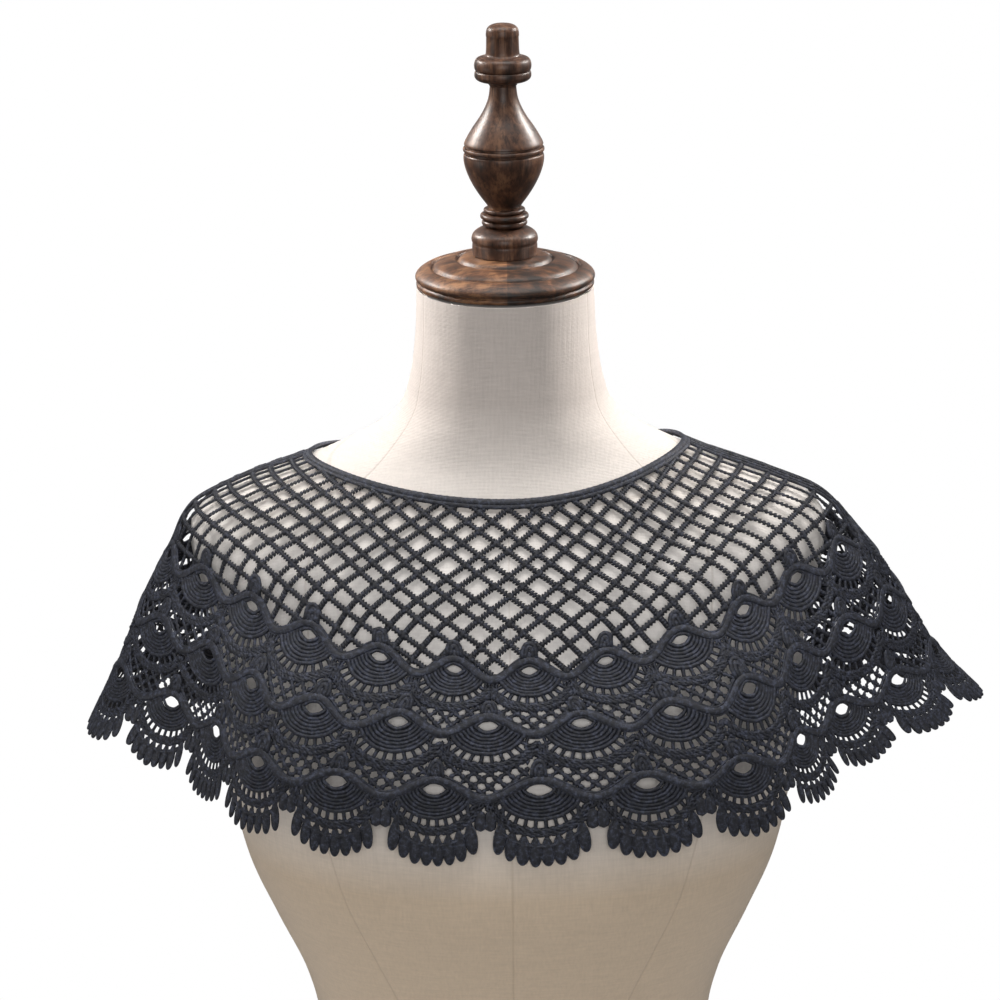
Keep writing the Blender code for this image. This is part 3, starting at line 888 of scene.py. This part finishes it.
def torso():
    """The form's cover as a closed surface, with the distances from its seams."""
    height = np.linspace(FORM_SECTIONS[0, 0], FORM_SECTIONS[-1, 0], FORM_ROWS)
    angle = np.arange(FORM_COLUMNS) / FORM_COLUMNS * 2 * pi
    h, a = np.meshgrid(height, angle, indexing="ij")
    grid = form_surface(a, h)
    ends = np.array([grid[0].mean(axis=0), grid[-1].mean(axis=0)])
    up = np.array([0, 0, TIP_HEIGHT])
    made = closed_surface("linen_form", grid * MM + up, ends * MM + up, crease=40)
    x, y, z = np.vstack([grid.reshape(-1, 3), ends]).T
    around, radius, panel = np.arctan2(x, -y), np.hypot(x, y), np.interp(z, *SIDE_SEAM)
    neck_seam = NECK_SEAM_FRONT + (NECK_SEAM_BACK - NECK_SEAM_FRONT) * (y + 60) / 125
    mark(made.data, "seam_front", np.where((y < 0) & (z < NECK_SEAM_FRONT), x, 50))
    mark(made.data, "seam_right", (around - panel) * radius)
    mark(made.data, "seam_left", (around + panel) * radius)
    mark(made.data, "seam_neck", z - neck_seam)
    return made


linen_form = torso()
print(linen_form.name, len(linen_form.data.polygons), "faces")

# %% [markdown]
# ## The turned cap and finial
#
# Both are lathe work. Each is a profile carried once round the neck's leaning axis, and the
# profile's corners are cut back a few times, as a turner eases every edge. Corners marked
# sharp stay crisp.

# %% The two profiles
TURN_STEPS = 80

# Columns: radius and height, top to bottom; a third value marks a sharp corner.
CAP_PROFILE = (
    (0, 19, 1), (21, 19), (25.6, 17.9), (27.2, 15.4), (28.3, 15.2), (29, 16.9), (35, 15.8),
    (40.8, 13.6), (42.2, 11), (43.4, 10.8), (44.2, 12.9), (49, 10.8), (52.4, 8), (52.6, 5.4),
    (50.9, 4.6), (51.2, 3.8), (52.2, 3), (51.4, 0), (0, 0, 1),
)
FINIAL_PROFILE = (
    (0, 134, 1), (5.6, 133.8), (9, 131.6), (9.6, 127.6), (9.3, 126.2, 1), (9.5, 116.8),
    (10.4, 115.6, 1), (15.2, 114.6), (16.6, 111), (16.2, 107.8), (15.4, 107.2, 1), (16.3, 106.4),
    (16.4, 103), (13.4, 100.9), (8.4, 100.9, 1), (8.2, 99, 1), (7.6, 98.4, 1), (8.3, 91),
    (12.4, 82), (18.4, 73.7), (22.7, 66), (22.9, 64.8, 1), (21.7, 64.2, 1), (21.9, 63.2, 1),
    (23.5, 63), (23.6, 60.8), (21.9, 60.4, 1), (21.9, 59.6, 1), (23.4, 59.2), (23.2, 53.4),
    (20.2, 44.7), (15.2, 36), (9.6, 28.6), (9.4, 27.4, 1), (12, 27.2), (12.2, 25), (10.2, 24.6, 1),
    (13.9, 24.2), (14.3, 21.4), (11.4, 20.6, 1), (13.2, 20), (13.3, 17.4), (10.2, 16.6, 1),
    (14.4, 15.4), (18.6, 12.6), (19.6, 9), (18.7, 6.6, 1), (19, 6), (19, 0, 1), (0, 0, 1),
)
print("corners:", len(CAP_PROFILE), "on the cap and", len(FINIAL_PROFILE), "on the finial")


# %% Turning them
def eased_profile(rows, rounds=3):
    """A profile whose eased corners are cut back by a quarter of each side, several times."""
    corners = [(np.array(row[:2]), len(row) > 2) for row in rows]
    for _ in range(rounds):
        cut = [corners[0]]
        for (before, _), (here, sharp), (after, _) in zip(corners, corners[1:], corners[2:]):
            if sharp:
                cut.append((here, True))
            else:
                cut.extend((here + (side - here) * 0.25, False) for side in (before, after))
        corners = [*cut, corners[-1]]
    return np.array([place for place, _ in corners])


def turned(name, rows, lift):
    """A closed solid of revolution on the neck's leaning top, this far above it.

    A point is (r cos(a), r sin(a), z) for the profile's r and z, then leaned with the neck.
    """
    profile = eased_profile(rows) + [0, lift]
    r, z = profile[1:-1, :1], profile[1:-1, 1:]
    a = np.arange(TURN_STEPS) / TURN_STEPS * 2 * pi
    grid = np.stack(np.broadcast_arrays(r * np.cos(a), r * np.sin(a), z), axis=-1)
    ends = np.array([(0, 0, profile[0, 1]), (0, 0, profile[-1, 1])])
    top, _, front, rear, _ = FORM_SECTIONS[-1]
    middle = (rear - front) / 2
    c, s = np.cos(NECK_LEAN), np.sin(NECK_LEAN)
    lean = np.array([[1, 0, 0], [0, c, s], [0, -s, c]])
    place = np.array([0, middle, top + middle * np.tan(NECK_LEAN) + TIP_HEIGHT / MM])
    grid, ends = ((points @ lean + place) * MM for points in (grid, ends))
    return closed_surface(name, grid, ends, crease=48, downward=True)


walnut_cap = turned("walnut_cap", CAP_PROFILE, 0.3)
walnut_finial = turned("walnut_finial", FINIAL_PROFILE, CAP_PROFILE[0][1] + 0.6)
print(walnut_cap.name, walnut_finial.name, len(walnut_finial.data.polygons), "faces")

# %% [markdown]
# ## Materials
#
# Each finish is built from the few things the eye sees in it: for the lace a nearly black
# blue-grey cotton, a soft sheen, the fine wrap of thread across each cord and painted light and
# shade that differ from piece to piece; for the linen a plain weave, with painted light on the
# shoulders and warm painted shade low down; for the walnut dark figure under a clear varnish.


# %% A tool for materials
def linear(code):
    """A linear colour from a hex code as it is seen on a screen."""
    parts = [int(code[i : i + 2], 16) / 255 for i in (0, 2, 4)]
    return *(p / 12.92 if p <= 0.04045 else ((p + 0.055) / 1.055) ** 2.4 for p in parts), 1.0


def node(tree, kind, *inputs, stops=(), **named):
    """Adds a node with its settings and links, and gives its outputs.

    A kind such as Math.ADD names the operation too. Each input is a value or a socket, by its
    order or by its name with _ for a space. A name in small letters is a setting, and stops are
    a colour ramp's places and hex codes.
    """
    kind, _, operation = kind.partition(".")
    made = tree.nodes.new("ShaderNode" + kind)
    if operation:
        made.operation = operation
    for key in [key for key in named if key.islower()]:
        setattr(made, key, named.pop(key))
    for key, value in [*enumerate(inputs), *named.items()]:
        socket = made.inputs[key if isinstance(key, int) else key.replace("_", " ")]
        if isinstance(value, bpy.types.NodeSocket):
            tree.links.new(value, socket)
        else:
            socket.default_value = value
    if stops:
        ends = made.color_ramp.elements
        while len(ends) < len(stops):
            ends.new(0.5)
        for element, (place, code) in zip(ends, stops):
            element.position, element.color = place, linear(code)
    return made.outputs


def material(name, nodes, *facts, **fixed):
    """A material: nodes(tree, place, *facts) gives its shader's sockets, and fixed its values."""
    made = bpy.data.materials.new(name)
    made.use_nodes = True
    tree = made.node_tree
    tree.nodes.clear()
    place = node(tree, "TexCoord")["Object"]
    shader = node(tree, "BsdfPrincipled", **nodes(tree, place, *facts), **fixed)
    node(tree, "OutputMaterial", shader["BSDF"])
    print(name, len(tree.nodes), "nodes")
    return made


# %% The lace's cotton
# The dye has worn in patches of 2 to 3 mm and the cotton's fuzz is 1 mm. One turn of thread
# takes 1.65 mm of cord (3.8 radians each millimetre), coarser than real thread, so that it shows.
DYE = [(0.34, "12141a"), (0.50, "22242d"), (0.66, "434859")]
PATCHES_PER_M, FUZZ_PER_M, WRAP_PER_MM = 420.0, 1100.0, 3.8


def guipure_cotton(tree, place):
    """Black guipure: matt blue-black cotton with a soft sheen and thread wrapped round it."""
    patches = node(tree, "TexNoise", place, Scale=PATCHES_PER_M, Detail=5.0, Roughness=0.75)
    dye = node(tree, "ValToRGB", patches["Fac"], stops=DYE)["Color"]
    # Each piece's stored number scales the cotton's colour: painted light on the upper fans, braids
    # and buds, painted shade on the net.
    painted_light = node(tree, "Attribute", attribute_name="painted_light")["Fac"]
    colour = node(tree, "VectorMath.SCALE", dye, Scale=painted_light)[0]
    cord = node(tree, "SeparateXYZ", node(tree, "UVMap", uv_map="cord")["UV"])
    turns = node(tree, "Math.MULTIPLY", cord["Y"], 2 * pi)[0]
    run = node(tree, "Math.MULTIPLY", cord["X"], WRAP_PER_MM)[0]
    angle = node(tree, "Math.ADD", turns, run)[0]
    wrap = node(tree, "Math.SINE", angle)[0]
    fuzz = node(tree, "TexNoise", place, Scale=FUZZ_PER_M, Detail=3.0)["Fac"]
    height = node(tree, "Math.MULTIPLY_ADD", wrap, 0.6, fuzz)[0]
    bump = node(tree, "Bump", Strength=0.55, Distance=0.0004, Height=height)["Normal"]
    return {"Base_Color": colour, "Normal": bump}


lace = material(
    "black_guipure_cotton", guipure_cotton, Roughness=0.62, Specular_IOR_Level=0.45,
    Sheen_Weight=0.03, Sheen_Roughness=0.45, Sheen_Tint=linear("8f9bb8"),
)

# %% The form's linen
# Share of the way up from the hips to the neck's cap, and the linen's colour there: lighter on the
# chest and shoulders as painted light, browner low down and greyer on the neck as painted shade.
LINEN_FROM, LINEN_TO = 0.385, 0.700
LINEN_AND_PAINTED_LIGHT = [
    (0.0, "d7c3ab"), (0.16, "ece5df"), (0.32, "f8f3ef"),
    (0.58, "f8f3ef"), (0.70, "e4ddd7"), (0.88, "c4bbb5"),
]
# Slubs are 1.3 mm thick and 14 mm long, level and upright. A wave texture makes 20 radians of
# wave for each unit of its scale, so these threads lie 0.75 mm apart.
SLUBS_PER_M = ((70.0, 70.0, 760.0), (760.0, 760.0, 70.0))
WEAVE_PER_M = 420.0


def plain_linen(tree, place):
    """Undyed linen in a fine plain weave, with painted light on the shoulders and painted shade low
    down and at the neck.
    """
    height = node(tree, "SeparateXYZ", place)["Z"]
    share = node(tree, "MapRange", height, LINEN_FROM, LINEN_TO)[0]
    # The ramp by height is the linen's own colour with painted light and painted shade on it.
    linen_and_painted_light = node(tree, "ValToRGB", share, stops=LINEN_AND_PAINTED_LIGHT)["Color"]
    slubs, threads = [], []
    for scale in SLUBS_PER_M:
        stretch = node(tree, "Mapping", place, Scale=scale)[0]
        streaks = node(tree, "TexNoise", stretch, Scale=1.0, Detail=4.0, Roughness=0.6)
        slubs.append(streaks["Fac"])
    for axis in ("X", "Z"):
        waves = node(
            tree, "TexWave", place, wave_type="BANDS", bands_direction=axis,
            Scale=WEAVE_PER_M, Distortion=1.2, Detail=2.0,
        )
        threads.append(waves["Fac"])
    slub = node(tree, "Math.ADD", *slubs)[0]
    weave = node(tree, "Math.ADD", *threads)[0]
    shade = node(tree, "MapRange", slub, 0.7, 1.3, 0.92, 1.05)[0]
    toned = node(tree, "VectorMath.SCALE", linen_and_painted_light, Scale=shade)[0]
    crease = 0.0
    for name in ("seam_front", "seam_right", "seam_left", "seam_neck"):
        distance = node(tree, "Attribute", attribute_name=name)["Fac"]
        away = node(tree, "Math.ABSOLUTE", distance)[0]
        line = node(
            tree, "MapRange", away, 0.2, 0.9, 1.0, 0.0, interpolation_type="SMOOTHSTEP"
        )[0]
        crease = node(tree, "Math.MAXIMUM", crease, line)[0]
    fade = node(tree, "Math.MULTIPLY", crease, 0.17)[0]
    worn = node(tree, "Mix", data_type="RGBA", Factor=fade, A=toned, B=linear("8f7763"))
    rows = node(tree, "Math.MULTIPLY_ADD", slub, 2.0, weave)[0]
    deep = node(tree, "Math.MULTIPLY_ADD", crease, -3.0, rows)[0]
    bump = node(tree, "Bump", Strength=0.4, Distance=0.0003, Height=deep)["Normal"]
    return {"Base_Color": worn["Result"], "Normal": bump}


linen = material(
    "undyed_linen", plain_linen, Roughness=0.9, Specular_IOR_Level=0.2, Sheen_Weight=0.3
)


# %% The turned walnut
def walnut(tree, place, tones, grain_per_m, darker):
    """Walnut of two glued halves, the right one darker: grain and pores under thin varnish.

    The grain's streaks are 6 mm wide and 33 to 71 mm long, the burr's clouds are 18 mm, and the
    pores are a quarter of a streak.
    """
    along = node(tree, "Mapping", place, Scale=grain_per_m)[0]
    grain = node(tree, "TexNoise", along, Scale=1.0, Detail=8.0, Roughness=0.68)["Fac"]
    burr = node(tree, "TexNoise", place, Scale=55.0, Detail=6.0, Roughness=0.7, Distortion=1.1)
    pores = node(tree, "TexNoise", along, Scale=4.0, Detail=5.0, Roughness=0.7)["Fac"]
    streaks = node(tree, "Math.MULTIPLY", grain, 0.55)[0]
    figure = node(tree, "Math.MULTIPLY_ADD", burr["Fac"], 0.45, streaks)[0]
    x = node(tree, "SeparateXYZ", place)["X"]
    right = node(tree, "Math.GREATER_THAN", x, 0.001)[0]
    halves = node(tree, "Math.MULTIPLY_ADD", right, -darker, figure)[0]
    wood = node(tree, "ValToRGB", halves, stops=tones)["Color"]
    pits = node(tree, "MapRange", pores, 0.36, 0.50, 0.5, 1.0)[0]
    pitted = node(tree, "VectorMath.SCALE", wood, Scale=pits)[0]
    rough = node(tree, "MapRange", pores, 0.0, 1.0, 0.36, 0.6)[0]
    bump = node(tree, "Bump", Strength=0.12, Distance=0.0004, Height=pores)["Normal"]
    return {"Base_Color": pitted, "Normal": bump, "Roughness": rough}


# The tones, the scale of the grain and how much darker the right half is.
TALL_WALNUT = [(0.36, "22160f"), (0.48, "442b1e"), (0.60, "694a35")], (160.0, 160.0, 14.0), 0.03
FLAT_WALNUT = [(0.36, "1f140e"), (0.47, "503321"), (0.60, "835e41")], (30.0, 160.0, 160.0), 0.08
walnut_tall = material(
    "turned_walnut_finial", walnut, *TALL_WALNUT,
    Specular_IOR_Level=0.25, Coat_Weight=0.22, Coat_Roughness=0.32,
)
walnut_flat = material(
    "turned_walnut_cap", walnut, *FLAT_WALNUT,
    Specular_IOR_Level=0.25, Coat_Weight=0.2, Coat_Roughness=0.5,
)

# %% Finishes on the pieces
lace_pieces = [piece for half in HALVES for piece in (nets[half], *borders[half].values())]
lace_pieces += [neck_cords, shoulders]
for piece in lace_pieces:
    piece.data.materials.append(lace)
linen_form.data.materials.append(linen)
walnut_finial.data.materials.append(walnut_tall)
walnut_cap.data.materials.append(walnut_flat)
print("pieces of lace:", len(lace_pieces))

# %% [markdown]
# ## What each piece stands for
#
# Every piece rides on the one body, and the solids that the pieces stand for are hidden: in each
# half the yoke and the border, then the neck binding, the torso, the neck cap and the finial.

# %% Bodies and solids
for piece in lace_pieces:
    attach(piece, "root")
for half in HALVES:
    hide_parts(f"yoke_{half}")
    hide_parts(f"border_{half}")
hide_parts("neck_binding")
for piece, node_name, slot_name in (
    (linen_form, "torso", "linen_cover"),
    (walnut_cap, "neck_cap", "turned_walnut"),
    (walnut_finial, "finial", "turned_walnut"),
):
    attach(piece, "root")
    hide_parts(node_name)
print("pieces of lace on the body:", len(lace_pieces))


for half in HALVES:
    pieces = {"net": nets[half], **borders[half]}

# %% [markdown]
# ## The studio
#
# The photograph is a cut-out on white with soft light from above and in front. The neck is
# darker in the middle than at its edges, and a little light reaches the form's sides. So there
# is a broad light overhead and one in front, two narrow grids behind the form that graze the
# neck, a low fill on each side, and a large dim light behind. The white world is seen, but
# lights only a little. The form stands on a small white table.

# %% Lights and table
def area_light(name, place, aim, size, watts, colour, spread=180):
    """A soft rectangular light that points at a place; a grid may narrow its spread, in degrees."""
    data = bpy.data.lights.new(name, "AREA")
    data.shape = "RECTANGLE"
    data.size, data.size_y = size
    data.energy = watts
    data.spread = radians(spread)
    data.color = linear(colour)[:3]
    made = bpy.data.objects.new(name, data)
    made.location = place
    away = np.array(place) - np.array(aim)
    made.rotation_euler = Vector(away).to_track_quat("Z", "Y").to_euler()
    made.visible_camera = False
    bpy.context.scene.collection.objects.link(made)


def white_board(tree, place):
    """Matt white board, with a grain of 17 mm that is only just lighter and darker."""
    grain = node(tree, "TexNoise", place, Scale=60.0, Detail=3.0)["Fac"]
    stops = [(0.3, "f0f0f0"), (0.7, "f6f6f6")]
    return {"Base_Color": node(tree, "ValToRGB", grain, stops=stops)["Color"]}


def table(radius=0.42, thick=0.03, edge=0.004):
    """A round table under the form, with an eased edge."""
    bm = bmesh.new()
    bmesh.ops.create_cone(
        bm, segments=96, cap_ends=True, radius1=radius, radius2=radius, depth=thick
    )
    bmesh.ops.translate(bm, verts=bm.verts, vec=(0, 0, -thick / 2 - 0.0005))
    rims = [e for e in bm.edges if len(e.link_faces) == 2 and e.calc_face_angle() > 1]
    bmesh.ops.bevel(bm, geom=rims, offset=edge, segments=3, affect="EDGES")
    made = bpy.data.meshes.new("studio_table")
    bm.to_mesh(made)
    bm.free()
    made.shade_smooth()
    made.set_sharp_from_angle(angle=radians(40))
    made.materials.append(material("white_table", white_board, Roughness=0.7))
    return add_piece("studio_table", made)


table()
centre, neck, hips = ((0, 0, TIP_HEIGHT + up) for up in (0, 0.15, -0.25))
area_light("overhead", (0, -0.25, 2.1), centre, (1.3, 1.0), 25.5, "fffdfa")
area_light("front", (0, -2.4, 1.3), centre, (1.2, 1.0), 21, "ffffff")
area_light("wall_behind", (0, 1.6, 0.9), centre, (3.0, 2.4), 7, "ffffff")
for name, side, watts in (("left", -1, 0.85), ("right", 1, 0.55)):
    grid = (side * 0.8, 0.35, 1.25)
    fill = (side * 1.8, -0.5, 0.25)
    area_light(f"{name}_grid", grid, neck, (0.2, 0.25), 0.5, "fffaf5", spread=24)
    area_light(f"{name}_fill", fill, hips, (0.8, 0.8), watts, "fffcf8", spread=50)
print("lights:", len(bpy.data.lights))

# %% The white world
world = bpy.data.worlds.new("white_studio")
world.use_nodes = True
tree = world.node_tree
tree.nodes.clear()
dim = node(tree, "Background", (1, 0.99, 0.98, 1), 0.11)[0]
seen = node(tree, "Background", (1, 1, 1, 1), 1.0)[0]
by_camera = node(tree, "LightPath")["Is Camera Ray"]
node(tree, "OutputWorld", node(tree, "MixShader", by_camera, dim, seen)[0])
scene = bpy.context.scene
scene.world = world
scene.view_settings.view_transform = "Standard"
scene.view_settings.look = "None"
print("world:", scene.world.name)

# %% The camera
CAMERA_DISTANCE, CAMERA_PITCH, CAMERA_ROLL = 1.8, radians(15.0), radians(-0.7)
CAMERA_TARGET = np.array([-0.0046, 0.0, TIP_HEIGHT])
camera_data = bpy.data.cameras.new("camera")
camera_data.lens, camera_data.sensor_width = 108.5, 36
camera = bpy.data.objects.new("camera", camera_data)
back = np.array([0, -np.cos(CAMERA_PITCH), np.sin(CAMERA_PITCH)])
camera.location = CAMERA_TARGET + back * CAMERA_DISTANCE
tilted = Matrix.Rotation(pi / 2 - CAMERA_PITCH, 3, "X") @ Matrix.Rotation(CAMERA_ROLL, 3, "Z")
camera.rotation_euler = tilted.to_euler()
scene.collection.objects.link(camera)
scene.camera = camera
print("camera at", [round(v, 3) for v in camera.location])
